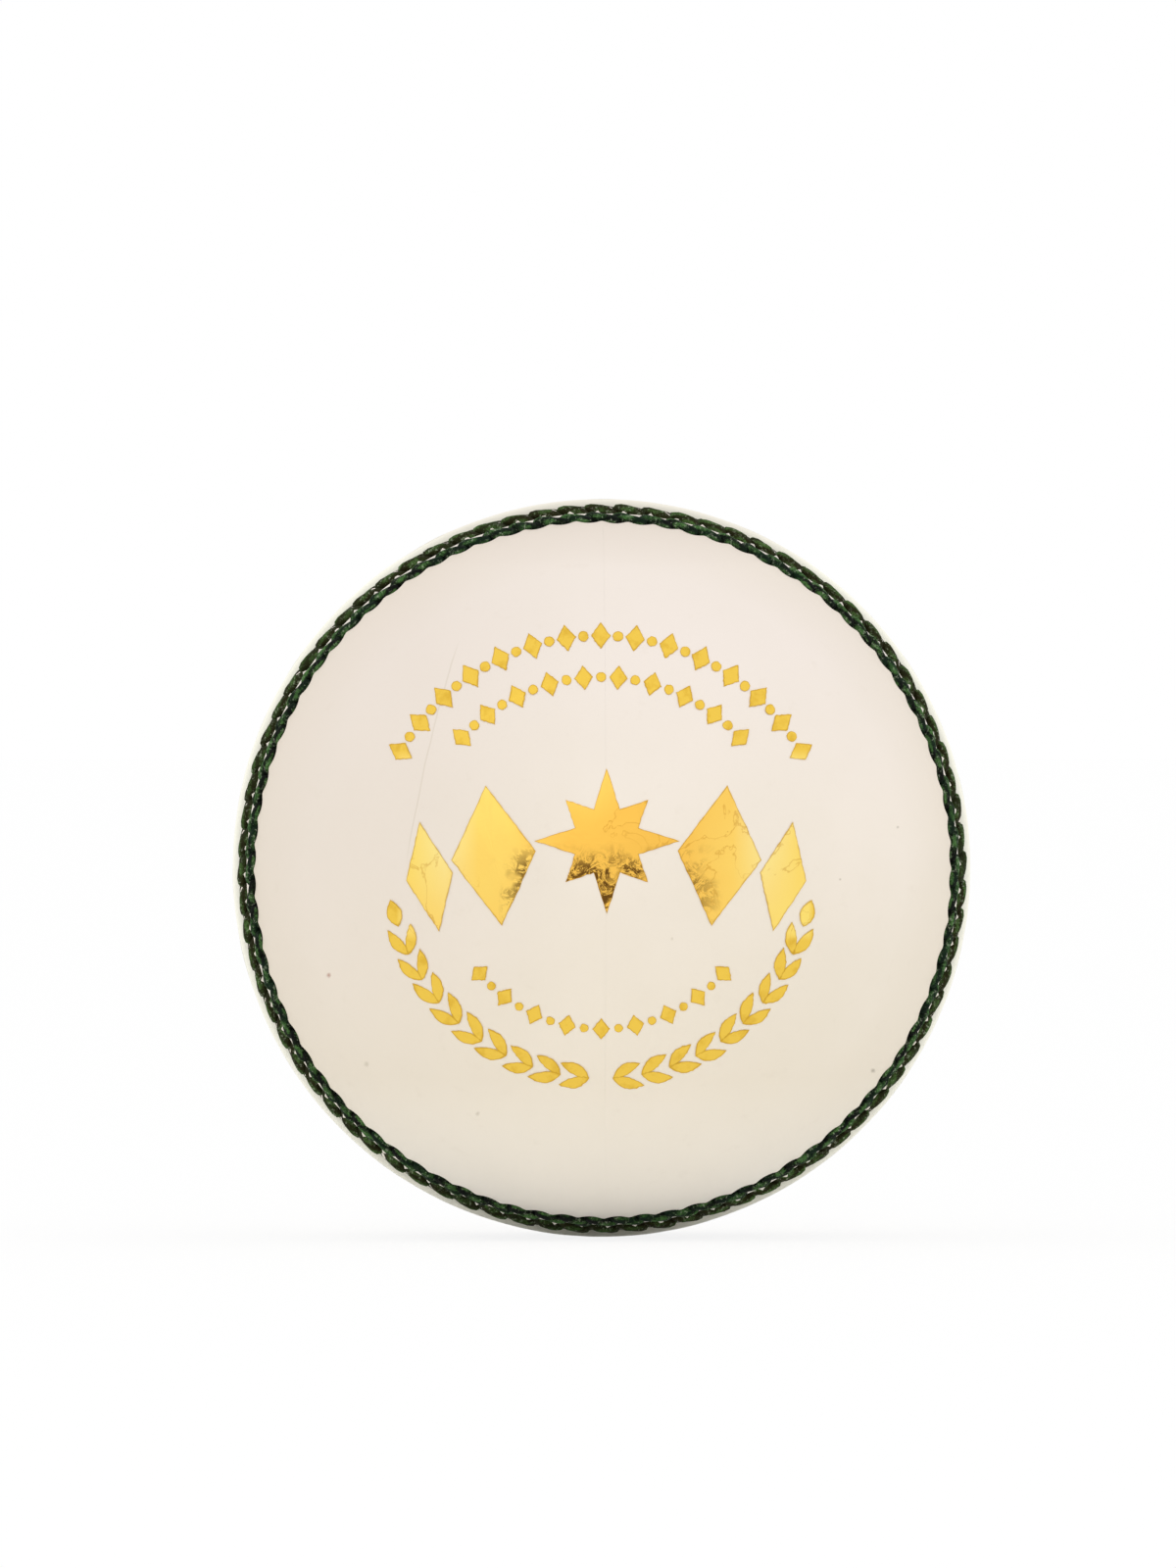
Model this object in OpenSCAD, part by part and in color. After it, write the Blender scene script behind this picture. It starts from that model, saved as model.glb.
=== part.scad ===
// Cricket ball, hand-stitched, four-piece cover. Millimetres.
// The origin is the ball's centre. The seam's axis is Y, so the seam stands upright in the XZ plane,
// the front half faces -Y and the back half faces +Y.
// Everything is modelled in the seam frame, where the seam's axis is Z and the front half is at z > 0,
// and place() turns it into the ball's own frame.

/* [Ball] */
// Diameter of the leather body, away from the seam
body_d = 71.3; // [69:0.1:75]
// Height of the leather lip at the joint of the two halves, over the body
lip_h = 0.75; // [0.4:0.05:1.1]
// Thickness of the leather cover
leather_t = 4.0; // [3.8:0.1:4.6]
// Gap between two leather edges that are sewn together
joint_gap = 0.1; // [0.06:0.02:0.2]
// Radius of the rounded edge of the lip
lip_round = 0.75; // [0.6:0.05:0.8]

/* [Core] */
// Diameter of the cork and rubber nucleus
nucleus_d = 26; // [22:0.5:28]
// Thickness of one wrap of cork
cork_t = 1.8; // [1.4:0.1:2.4]
// Gap between one layer and the next
layer_gap = 0.1; // [0.05:0.05:0.2]
// Width of one turn of the yarn
yarn_w = 2.0; // [1.6:0.1:3]
// Depth of the hollow between two turns of the yarn
yarn_hollow = 0.4; // [0.2:0.05:0.6]
// Gores in each cork wrap, two for each cut through its centre
cork_gores = 6; // [4:2:10]
// Gap between two cork gores
gore_gap = 0.6; // [0.4:0.1:1]

/* [Seam rows] */
// Distance of the centre rows from the joint
centre_row_z = 1.9; // [1.8:0.05:2.1]
// Distance of the middle rows from the joint
middle_row_z = 5.3; // [5:0.1:5.8]
// Distance of the outer rows from the joint
outer_row_z = 9.2; // [8.8:0.1:9.6]
// Stitches in each centre row
centre_stitches = 80; // [72:4:88]
// Stitches in each middle row
middle_stitches = 80; // [72:4:88]
// Stitches in each outer row
outer_stitches = 84; // [72:4:88]
// Diameter of the seam thread
thread_d = 1.0; // [0.8:0.05:1.1]
// Gap between one stitch and the next, which lie side by side
stitch_gap = 0.06; // [0.04:0.01:0.2]
// How far one stitch lies beside the next, along a row
stitch_lap = 0.5; // [0:0.1:0.8]
// Depth of the groove that a middle or outer row sinks in
groove_depth = 0.55; // [0.4:0.05:0.7]
// Extra depth of the groove of a centre row, which is pulled tightest
centre_sink = 0.2; // [0:0.05:0.3]
// Gap between the stitches and the walls of their groove
groove_side_gap = 0.1; // [0.05:0.05:0.15]
// Gap between the stitches and the floor of their groove
stitch_seat = 0.02; // [0.01:0.01:0.05]
// Radius of the corners of a groove
groove_round = 0.2; // [0.1:0.05:0.25]
// Height of the leather that swells up between two rows
swell_h = 0.16; // [0:0.02:0.25]
// Radius of that swell, across the seam
swell_r = 2.4; // [2:0.1:3]

/* [Through threads] */
// Diameter of a thread pulled tight in its hole
through_d = 0.6; // [0.5:0.02:0.66]
// Clearance around a thread in its awl hole
awl_clear = 0.03; // [0.02:0.01:0.05]
// Depth at which the centre threads cross the joint, below the leather body's surface
centre_cross = 1.55; // [1.4:0.05:1.65]
// Depth at which the middle threads cross the joint
middle_cross = 2.4; // [2.35:0.05:2.5]
// Depth at which the outer threads cross the joint
outer_cross = 3.25; // [3.2:0.05:3.4]

/* [Quarter stitching] */
// Stitches that join the two quarters of one half, on the inside
quarter_stitches = 36; // [24:2:44]
// Diameter of their thread
quarter_thread_d = 0.6; // [0.5:0.05:0.7]
// Length of one of them, across the joint
quarter_stitch_l = 2.6; // [2:0.1:3.4]
// Angle from the pole down to the end of that stitching
quarter_sweep = 68; // [60:1:70]
// Clearance around that stitching in its channel
channel_clear = 0.1; // [0.05:0.05:0.2]

/* [Hidden] */
$fn = 96;
thread_fn = 36;
body_r = body_d / 2;
lip_r = body_r + lip_h;
inner_r = body_r - leather_t;
nucleus_r = nucleus_d / 2;
big = body_d;                                    // longer than any cut has to be
leather_colour = "#EFE5D2";
thread_colour = "#2C3A1E";
yarn_colour = "#D6C9AE";
cork_colour = "#A87B4F";
nucleus_colour = "#5A4230";
quarter_thread_colour = "#E4DCC8";

// The three rows of one half, from the joint outwards
CENTRE = 0;
MIDDLE = 1;
OUTER = 2;
ROWS = [CENTRE, MIDDLE, OUTER];
row_z = [centre_row_z, middle_row_z, outer_row_z];
row_count = [centre_stitches, middle_stitches, outer_stitches];
row_depth = [groove_depth + centre_sink, groove_depth, groove_depth];
row_cross = [centre_cross, middle_cross, outer_cross];

thread_r = thread_d / 2;
through_r = through_d / 2;
awl_r = through_r + awl_clear;
awl_past = 1;                                    // how far a hole's cut starts beyond the joint

// Latitude of a row, as seen from the ball's centre, and radius of its groove's floor
function row_lat(i) = asin(row_z[i] / body_r);
function floor_r(i) = body_r - row_depth[i];
// Radius at which the middle of a row's stitches lies
function stitch_r(i) = floor_r(i) + stitch_seat + thread_r;
// Angle and distance from one stitch to the next
function row_step(i) = 360 / row_count[i];
function row_pitch(i) = 2 * PI * stitch_r(i) * cos(row_lat(i)) / row_count[i];
// Slant of a stitch from the line of its row, at which it just clears the next one
function stitch_slant(i) = asin((thread_d + stitch_gap) / row_pitch(i));
// Length of the straight part of a stitch, and half of its reach across the row
function stitch_body(i) = (row_pitch(i) + stitch_lap - thread_d) / cos(stitch_slant(i));
function stitch_half(i) = stitch_body(i) / 2 * sin(stitch_slant(i)) + thread_r;
// Half width of a groove, to the next 0.01 mm, so that its walls meet its rounded corners exactly
function groove_half(i) = ceil(100 * (stitch_half(i) + groove_side_gap)) / 100;

// A through thread runs from the floor of its groove to the plane of the joint
function floor_point(i) = floor_r(i) * [cos(row_lat(i)), sin(row_lat(i))];
function cross_point(i) = [body_r - row_cross[i], 0];
function through_run(i) = floor_point(i) - cross_point(i);
function through_tilt(i) = atan2(through_run(i)[0], through_run(i)[1]);
// Angle at which it meets that floor, and how far along its axis it is still breaking through
function through_graze(i) = through_tilt(i) + row_lat(i);
function breakout(i, r) = r / tan(through_graze(i));

// The layers of the core: winding 1, wrap 1, winding 2, wrap 2 and so on, and a last winding. The
// windings share the room that the wraps and gaps leave between the nucleus and the cover.
WRAPS = 3;
windings = WRAPS + 1;
winding_t = (inner_r - nucleus_r - WRAPS * cork_t - 2 * windings * layer_gap) / windings;
turn_r = 0.62 * yarn_w;                          // a turn is a little rounder than half its width
winding_turn = [37, 61, 0];                      // how much further each winding is turned
wrap_turn = [52, 28, 0];                         // how much further each cork wrap is turned
layer_step = winding_t + cork_t + 2 * layer_gap;
function winding_in(n) = nucleus_r + layer_gap + (n - 1) * layer_step;
function winding_out(n) = winding_in(n) + winding_t;
function wrap_in(n) = winding_out(n) + layer_gap;

// From the seam frame to the ball's own frame: the seam's axis goes from Z to -Y
module place() rotate([90, 0, 0]) children();

// From the front half to the back half, which is its mirror image at the joint
module behind() mirror([0, 0, 1]) children();

// ---- Core ----

module core_nucleus() color(nucleus_colour) sphere(nucleus_r);

// Section through one winding: a half ring whose outside is scalloped by the turns of yarn
module winding_section(inside, outside) {
    turns = round(PI * (outside - yarn_w / 2) / yarn_w);
    intersection() {
        difference() {
            union() {
                circle(outside - yarn_hollow);
                for (k = [0:turns - 1])
                    rotate(180 * (k + 0.5) / turns - 90)
                        translate([outside - turn_r, 0]) circle(turn_r);
            }
            circle(inside);
        }
        translate([0, -big]) square([big, 2 * big]);
    }
}

// Each winding is laid in another direction than the one below it
module yarn_winding(n)
    color(yarn_colour) rotate(n * winding_turn)
        rotate_extrude() winding_section(winding_in(n), winding_out(n));

// A wrap is a thin cork shell in gores, with slits so that it can lie round the ball
module cork_wrap(n)
    color(cork_colour) rotate(n * wrap_turn) difference() {
        sphere(wrap_in(n) + cork_t);
        sphere(wrap_in(n));
        for (k = [0:cork_gores / 2 - 1])
            rotate(360 * k / cork_gores) cube([2 * big, gore_gap, 2 * big], center = true);
    }

// ---- Leather ----

// Section of a groove, with its floor at x = 0 and its mouth towards +x
module groove_section(half, depth) {
    corner = half - groove_round;
    for (side = [-1, 1]) translate([groove_round, side * corner]) circle(groove_round);
    translate([0, -corner]) square([depth, 2 * corner]);
    translate([groove_round, -half]) square([depth, 2 * half]);
}

// Section through one half of the cover: shell, rounded lip at the joint, swells and grooves
module cover_section() intersection() {
    difference() {
        union() {
            circle(body_r);
            translate([lip_r - lip_round, joint_gap]) circle(lip_round);
            for (i = [MIDDLE, OUTER])
                rotate((row_lat(i - 1) + row_lat(i)) / 2)
                    translate([body_r + swell_h - swell_r, 0]) circle(swell_r);
        }
        circle(inner_r);
        for (i = ROWS)
            rotate(row_lat(i)) translate([floor_r(i), 0])
                groove_section(groove_half(i), row_depth[i] + lip_round);
    }
    translate([0, joint_gap / 2]) square([big, big]);
}

// A straight thread or hole of row i in the plane y = 0. It starts `past` beyond the plane of the
// joint and ends `more` beyond the floor of the groove.
module through_line(i, r, past, more)
    translate([cross_point(i)[0], 0, 0]) rotate([0, through_tilt(i), 0]) translate([0, 0, -past])
        cylinder(h = past + norm(through_run(i)) + more, r = r, $fn = thread_fn);

// The threads or holes of row i pass between one stitch and the next, in the first `turn` degrees
module through_ring(i, r, past, more, turn = 360)
    for (k = [0:row_count[i] * turn / 360 - 1])
        rotate((k + 0.5) * row_step(i)) through_line(i, r, past, more);

// Channel on the inside of the joint between two quarters, for their stitching
channel_r = inner_r + quarter_thread_d + 2 * channel_clear;
channel_w = quarter_stitch_l + 2 * channel_clear;
channel_sweep = quarter_sweep + 2;
module quarter_channel()
    rotate([90, 0, 0]) rotate([0, 0, 90 - channel_sweep])
        rotate_extrude(angle = 2 * channel_sweep)
            translate([inner_r / 2, -channel_w / 2]) square([channel_r - inner_r / 2, channel_w]);

// One quarter of the cover, on the side y > 0 of the joint plane y = 0
module leather_quarter() color(leather_colour) difference() {
    rotate_extrude(angle = 180) cover_section();
    cube([2 * big, joint_gap, 2 * big], center = true);
    quarter_channel();
    for (i = ROWS) through_ring(i, awl_r, awl_past, breakout(i, awl_r) + joint_gap, 180);
}

// ---- Threads ----

// A stitch: a round-ended piece of thread along Z
module capsule(body, r) rotate_extrude($fn = thread_fn) intersection() {
    union() {
        translate([-r, -body / 2]) square([2 * r, body]);
        for (side = [-1, 1]) translate([0, side * body / 2]) circle(r, $fn = thread_fn);
    }
    translate([0, -big]) square([big, 2 * big]);
}

// One row of the front half. Seen from the front, each stitch runs outwards as it goes anticlockwise
module stitch_row(i) color(thread_colour)
    for (k = [0:row_count[i] - 1])
        rotate([0, -row_lat(i), k * row_step(i)])
            translate([stitch_r(i), 0, 0]) rotate([-90 - stitch_slant(i), 0, 0])
                capsule(stitch_body(i), thread_r);

// The threads that cross the joint below one pair of rows, from groove to groove
module through_threads(i) color(thread_colour) {
    half_through_threads(i);
    behind() half_through_threads(i);
}

module half_through_threads(i) intersection() {
    through_ring(i, through_r, awl_past, -breakout(i, through_r));
    cylinder(h = big, r = body_r);
}

// Stitching across the inside of a quarter joint in the plane y = 0
module quarter_stitching() color(quarter_thread_colour)
    for (k = [0:quarter_stitches - 1])
        rotate([0, quarter_sweep * (2 * k / (quarter_stitches - 1) - 1), 0])
            translate([0, 0, inner_r + channel_clear + quarter_thread_d / 2]) rotate([90, 0, 0])
                capsule(quarter_stitch_l - quarter_thread_d, quarter_thread_d / 2);

core_nucleus();
place() yarn_winding(1);  // yarn_winding_1
place() cork_wrap(1);  // cork_wrap_1
place() yarn_winding(2);  // yarn_winding_2
place() cork_wrap(2);  // cork_wrap_2
place() yarn_winding(3);  // yarn_winding_3
place() cork_wrap(3);  // cork_wrap_3
place() yarn_winding(4);  // yarn_winding_4
place() rotate(90) leather_quarter();  // leather_quarter_front_left
place() rotate(-90) leather_quarter();  // leather_quarter_front_right
place() behind() leather_quarter();  // leather_quarter_back_top
place() behind() rotate(180) leather_quarter();  // leather_quarter_back_bottom
place() rotate(90) quarter_stitching();  // quarter_stitching_front
place() behind() quarter_stitching();  // quarter_stitching_back
place() stitch_row(CENTRE);  // centre_row_front
place() behind() stitch_row(CENTRE);  // centre_row_back
place() stitch_row(MIDDLE);  // middle_row_front
place() behind() stitch_row(MIDDLE);  // middle_row_back
place() stitch_row(OUTER);  // outer_row_front
place() behind() stitch_row(OUTER);  // outer_row_back
place() through_threads(CENTRE);  // centre_through_threads
place() through_threads(MIDDLE);  // middle_through_threads
place() through_threads(OUTER);  // outer_through_threads
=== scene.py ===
"""A white, hand-stitched cricket ball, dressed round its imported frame.

The frame is in metres, +Z up, with its origin at the ball's centre. The seam stands upright in the XZ
plane and the front half faces -Y. Shapes are worked out in millimetres in the seam frame, where the
seam's axis is z and the front half is at z > 0, and to_ball() turns them into the ball's own frame.
"""

import math

import bpy
import numpy as np
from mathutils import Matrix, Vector


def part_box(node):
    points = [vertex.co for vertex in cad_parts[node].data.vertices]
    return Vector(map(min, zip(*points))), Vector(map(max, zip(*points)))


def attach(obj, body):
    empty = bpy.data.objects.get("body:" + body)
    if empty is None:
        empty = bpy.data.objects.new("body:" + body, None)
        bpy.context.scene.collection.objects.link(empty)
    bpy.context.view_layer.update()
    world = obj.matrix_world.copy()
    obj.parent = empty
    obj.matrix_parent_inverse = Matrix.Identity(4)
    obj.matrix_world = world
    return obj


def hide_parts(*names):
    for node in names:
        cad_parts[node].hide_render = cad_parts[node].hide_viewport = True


MM = 0.001

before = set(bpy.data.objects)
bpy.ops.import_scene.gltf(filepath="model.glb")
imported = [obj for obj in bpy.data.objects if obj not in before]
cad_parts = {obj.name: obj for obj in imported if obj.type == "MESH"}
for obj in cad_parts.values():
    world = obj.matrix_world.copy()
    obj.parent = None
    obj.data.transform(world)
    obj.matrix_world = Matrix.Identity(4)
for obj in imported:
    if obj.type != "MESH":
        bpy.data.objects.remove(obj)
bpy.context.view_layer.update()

# ---- Sizes taken from the frame, in millimetres ----


def node_box(node):
    """Lowest and highest corner of a CAD node, in millimetres, in the ball's own frame."""
    low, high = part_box(node)
    return np.array(low) / MM, np.array(high) / MM


BODY_R = -node_box("leather_quarter_front_right")[0][1]
LIP_R = node_box("leather_quarter_front_right")[1][0]
CORE_R = node_box("yarn_winding_4")[1][1]
COVER_CLEAR = 0.2
INNER_R = CORE_R + COVER_CLEAR

# The rows of one half, from the joint to the pole: how many stitches go round, and how much
# deeper than the plain trough a row's trough is
ROWS = ("centre", "middle", "outer")
STITCHES = {"centre": 80, "middle": 80, "outer": 84}
SINK = {"centre": 0.2, "middle": 0.0, "outer": 0.1}


def row_arc(row):
    """How far a row lies from the joint, measured along the leather."""
    low, high = node_box(f"{row}_row_front")
    return BODY_R * math.asin(-(low[1] + high[1]) / 2 / BODY_R)


ARC = {row: row_arc(row) for row in ROWS}

# ---- Camera ----

# Place of the seam's ring in the photograph, and its scale
RING_PX = (613.94, 885.76)
PX_PER_MM = 10.34
PHOTO_PX = (1200, 1600)
# The camera stands far in front, a little to the left of the ball and above it
CAMERA_FAR = 1500.0
CAMERA_LEFT = math.radians(0.64)
CAMERA_UP = math.radians(0.86)
SENSOR_MM = 36.0


def make_camera():
    data = bpy.data.cameras.new("camera")
    camera = bpy.data.objects.new("camera", data)
    bpy.context.scene.collection.objects.link(camera)
    side = -math.sin(CAMERA_LEFT) * math.cos(CAMERA_UP)
    back = -math.cos(CAMERA_LEFT) * math.cos(CAMERA_UP)
    place = Vector((side, back, math.sin(CAMERA_UP))) * CAMERA_FAR * MM
    camera.location = place
    camera.rotation_euler = (-place).to_track_quat("-Z", "Y").to_euler()
    long_side = max(PHOTO_PX)
    data.sensor_width = SENSOR_MM
    data.lens = PX_PER_MM * CAMERA_FAR * SENSOR_MM / long_side
    data.shift_x = (PHOTO_PX[0] / 2 - RING_PX[0]) / long_side
    data.shift_y = (RING_PX[1] - PHOTO_PX[1] / 2) / long_side
    data.clip_start = 0.01
    data.clip_end = 50
    bpy.context.scene.camera = camera


# ---- Mesh helpers ----


def to_ball(points):
    """From the seam frame in millimetres to the ball's own frame in metres."""
    p = np.asarray(points, float)
    return np.stack([p[:, 0], -p[:, 2], p[:, 1]], axis=1) * MM


def on_ball(lon, lat, radius):
    """Points of the seam frame by longitude round the seam, latitude from it, and radius."""
    lon, lat, radius = np.broadcast_arrays(lon, lat, radius)
    flat = radius * np.cos(lat)
    return np.stack([flat * np.cos(lon), flat * np.sin(lon), radius * np.sin(lat)], axis=-1)


def add_piece(name, points, faces, material, sharp=None, shade=None):
    """A smooth mesh piece of the ball, from points of the seam frame."""
    mesh = bpy.data.meshes.new(name)
    mesh.from_pydata(to_ball(points).tolist(), [], [tuple(int(i) for i in f) for f in faces])
    mesh.validate()
    mesh.polygons.foreach_set("use_smooth", [True] * len(mesh.polygons))
    if sharp is not None:
        mesh.set_sharp_from_angle(angle=math.radians(sharp))
    if shade is not None:
        mesh.attributes.new("shade", "FLOAT", "POINT").data.foreach_set("value", shade)
    mesh.materials.append(material)
    piece = bpy.data.objects.new(name, mesh)
    bpy.context.scene.collection.objects.link(piece)
    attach(piece, "root")
    return piece


def bridge(a, a_at, b, b_at):
    """Triangles between two rows of points, walked by where each point lies along its row."""
    faces = []
    i = j = 0
    while i < len(a) - 1 or j < len(b) - 1:
        step_a = j == len(b) - 1 or (i < len(a) - 1 and a_at[i + 1] <= b_at[j + 1])
        if step_a:
            faces.append((a[i], a[i + 1], b[j]))
            i += 1
        else:
            faces.append((a[i], b[j + 1], b[j]))
            j += 1
    return faces


def quads(a, b):
    """Faces between two rows with as many points."""
    return list(zip(a[:-1], a[1:], b[1:], b[:-1]))


def smooth_step(x):
    x = np.clip(x, 0, 1)
    return x * x * (3 - 2 * x)


def wave_noise(lon, arc, seed, waves=14, finest=0.7):
    """A smooth, uneven height between about -1 and 1 that repeats round the ball."""
    rng = np.random.default_rng(seed)
    total = np.zeros(np.broadcast(lon, arc).shape)
    for _ in range(waves):
        turns = int(rng.integers(2, 40))
        rate = rng.uniform(0.05, finest)
        total = total + np.sin(turns * lon + rate * arc + rng.uniform(0, 2 * math.pi))
    return total / math.sqrt(waves)


# ---- Leather ----

# The lip stands up at the joint, each row sinks in a trough, and a low shoulder runs beside it
LIP_W = 0.95
TROUGH = 0.62
TROUGH_W = 0.98
SHOULDER = 0.03
SHOULDER_OFF = 1.24
SHOULDER_W = 0.34
# The leather dips a little half way between two rows
BETWEEN_DIP = 0.10
BETWEEN_W = 1.0
# A stitch presses the shoulders up. How much of that each row shows on the side of the joint and
# on the side of the pole, how high and how sharp it is, and where in a stitch's turn it is highest
JOINT_SIDE_RIM = {"centre": 0.0, "middle": 0.5, "outer": 1.0}
POLE_SIDE_RIM = {"centre": 0.5, "middle": 0.0, "outer": 0.0}
PUCKER = 0.60
RIM_SHARP = 2.4
RIM_PHASE = 1.3
# The outermost stitches drag the leather's edge in at a tail, and it puffs out between two tails
SCALLOP = 0.20
SCALLOP_SIDE_W = 0.5
TAIL_PHASE = 3.3
PUFF = 0.12
PUFF_SHARP = 2.0
PUFF_OFF = 1.15
PUFF_W = 0.35
# A row wanders a little from its circle, and the hide is a little uneven
WANDER = 0.06
UNEVEN = 0.018
# The closed joint of two quarters shows as a hairline
JOINT_GAP = 0.002
CREASE = 0.006
CREASE_W = 0.10
# Rings of the cover's mesh, by their distance from the seam: fine out to the end of the seam's
# band, then wider and wider towards the pole
FIRST_RING = 0.05
LIP_STEP = 0.08
SEAM_BAND = 11.6
RING_STEP = 0.15
RING_GROWTH = 1.18
WIDEST_RING = 1.4
LAST_RING_GAP = 1.5
# Columns of a ring, and the first few, which follow the joint; small rings follow it with one
SEAM_COLUMNS = 360
COLUMN_COUNTS = (240, 160, 100, 64, 40, 24, 14)
FEWEST_COLUMNS = 8
COLUMN_W = 0.32
COLUMN_GROWTH = 0.13
WIDEST_COLUMN = 1.6
EDGE_STEPS = (JOINT_GAP, 0.12, 0.25, 0.45, 0.8)
SMALL_RING = 4
# The inside of a quarter is a plain shell of coarser rings, given in radians
INNER_COLUMNS = 25
INNER_SIDE = 0.002
INNER_RINGS = 12
INNER_LAT = (0.0015, 0.46 * math.pi)


def leather_height(lon, arc, from_joint, seed):
    """Height of the leather over the ball's body, in millimetres."""
    height = (LIP_R - BODY_R) * np.sqrt(np.clip(1 - (arc / LIP_W) ** 2, 0, 1))
    for row in ROWS:
        phase = STITCHES[row] * lon
        wander = WANDER * wave_noise(lon, 0 * arc, seed + STITCHES[row], 8)
        d = arc - ARC[row] - wander
        if row == "outer":
            pole_side = smooth_step(d / SCALLOP_SIDE_W)
            d = d - SCALLOP * np.cos(phase - TAIL_PHASE) * pole_side
            puff = np.exp(PUFF_SHARP * (-np.cos(phase - TAIL_PHASE) - 1))
            height = height + PUFF * puff * np.exp(-(((d - PUFF_OFF) / PUFF_W) ** 2))
        height = height - (TROUGH + SINK[row]) * np.exp(-((d / TROUGH_W) ** 4))
        # The lip stands in for the shoulder on the joint side of the centre row
        beside = np.exp(-(((np.abs(d) - SHOULDER_OFF) / SHOULDER_W) ** 2))
        beside = beside * np.where(d < 0, JOINT_SIDE_RIM[row], POLE_SIDE_RIM[row])
        ripple = np.where(d < 0, np.cos(phase - RIM_PHASE), np.cos(phase + RIM_PHASE))
        height = height + beside * (SHOULDER + PUCKER * np.exp(RIM_SHARP * (ripple - 1)))
    for low, high in zip(ROWS[:-1], ROWS[1:]):
        off = arc - (ARC[low] + ARC[high]) / 2
        height = height - BETWEEN_DIP * np.exp(-((off / BETWEEN_W) ** 2))
    uneven = UNEVEN * wave_noise(lon, arc, seed, 16, 0.3)
    crease = CREASE * np.exp(-((from_joint / CREASE_W) ** 2))
    return height + uneven - crease


def ring_arcs():
    """Distances from the seam's middle at which the outside has a ring of points."""
    arcs = list(np.arange(FIRST_RING, LIP_W + 0.1, LIP_STEP))
    while arcs[-1] < SEAM_BAND:
        arcs.append(arcs[-1] + RING_STEP)
    step = RING_STEP
    pole = BODY_R * math.pi / 2
    while arcs[-1] < pole - LAST_RING_GAP:
        step = min(step * RING_GROWTH, WIDEST_RING)
        arcs.append(arcs[-1] + step)
    return arcs


def columns(arc):
    """How many columns a ring has between the first and last few, which follow the joint."""
    across = math.pi * BODY_R * math.cos(arc / BODY_R)
    if arc < SEAM_BAND:
        return SEAM_COLUMNS
    wanted = across / min(COLUMN_W + COLUMN_GROWTH * (arc - SEAM_BAND), WIDEST_COLUMN)
    return next((count for count in COLUMN_COUNTS if wanted >= count), FEWEST_COLUMNS)


def ring_longitudes(arc):
    """Longitudes of a ring's points, over the half turn of one quarter."""
    flat = BODY_R * math.cos(arc / BODY_R)
    count = columns(arc)
    if flat > SMALL_RING:
        edge = [math.asin(d / flat) for d in EDGE_STEPS]
    else:
        edge = [math.asin(min(JOINT_GAP / flat, 0.5))]
    middle = np.linspace(edge[-1], math.pi - edge[-1], count)
    return np.concatenate([edge[:-1], middle, math.pi - np.array(edge[:-1])[::-1]])


def cover_quarter(name, node, turn, behind, material, seed):
    """One leather quarter as a closed shell: outside, joint walls and inside."""
    points, faces = [], []
    rings, spans = [], []
    count = 0

    def add_ring(lon, pts):
        nonlocal count
        rings.append(np.arange(count, count + len(pts)))
        spans.append(np.asarray(lon))
        points.append(pts)
        count += len(pts)

    for arc in ring_arcs():
        lon = ring_longitudes(arc)
        lat = arc / BODY_R
        flat = BODY_R * math.cos(lat)
        joint = flat * np.abs(np.sin(lon))
        height = leather_height(lon + turn, np.full(len(lon), arc), joint, seed)
        add_ring(lon, on_ball(lon, lat, BODY_R + height))
    half = math.pi / 2
    add_ring([half], np.array([[0, JOINT_GAP, BODY_R]]))
    outer_rings = len(rings)
    add_ring([half], np.array([[0, JOINT_GAP, INNER_R]]))
    inner_lon = np.linspace(INNER_SIDE, math.pi - INNER_SIDE, INNER_COLUMNS)
    for lat in np.linspace(INNER_LAT[1], INNER_LAT[0], INNER_RINGS):
        add_ring(inner_lon, on_ball(inner_lon, lat, INNER_R))

    for k in range(len(rings) - 1):
        if k == outer_rings - 1:
            continue
        if len(rings[k]) == len(rings[k + 1]):
            faces += quads(rings[k], rings[k + 1])
        else:
            faces += bridge(rings[k], spans[k], rings[k + 1], spans[k + 1])
    # The wall at the joint with the other half
    faces += bridge(rings[-1], spans[-1], rings[0], spans[0])
    # The walls at the joint with the other quarter, one arch from side to side
    outer_edge = [r[0] for r in rings[:outer_rings]] + [r[-1] for r in rings[:outer_rings - 1]][::-1]
    inner = rings[outer_rings:]
    inner_edge = [r[0] for r in inner[::-1]] + [r[-1] for r in inner[1:]]
    flat_points = np.concatenate(points)

    def angle_of(indices):
        p = flat_points[indices]
        return np.maximum.accumulate(np.arctan2(p[:, 2], p[:, 0]))

    outer_at, inner_at = angle_of(outer_edge), angle_of(inner_edge)
    faces += bridge(outer_edge, outer_at, inner_edge, inner_at)

    c, s = math.cos(turn), math.sin(turn)
    p = flat_points
    placed = np.stack([c * p[:, 0] - s * p[:, 1], s * p[:, 0] + c * p[:, 1], p[:, 2]], axis=1)
    if behind:
        placed[:, 2] *= -1
        faces = [f[::-1] for f in faces]
    piece = add_piece(name, placed, faces, material, sharp=50)
    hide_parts(node)


# ---- Stitches ----

# A stitch is a length of thread of three plies, plumper towards its head, with rounded ends
THREAD_R = 0.54
THREAD_ALONG = 17
THREAD_ROUND = 16
PLIES = 3
PLY_DEPTH = 0.16
TWIST_MM = 2.6
TAIL_SHARE = 0.84
HEAD_SWELL = 0.18
END_BLUNT = 9
END_CAP = 0.6
# How far it reaches each way, as a share of the pitch, and how far it leans across the row
STITCH_REACH = 0.66
STITCH_LEAN = 0.58
LEAN_CURVE = 1.45
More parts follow.
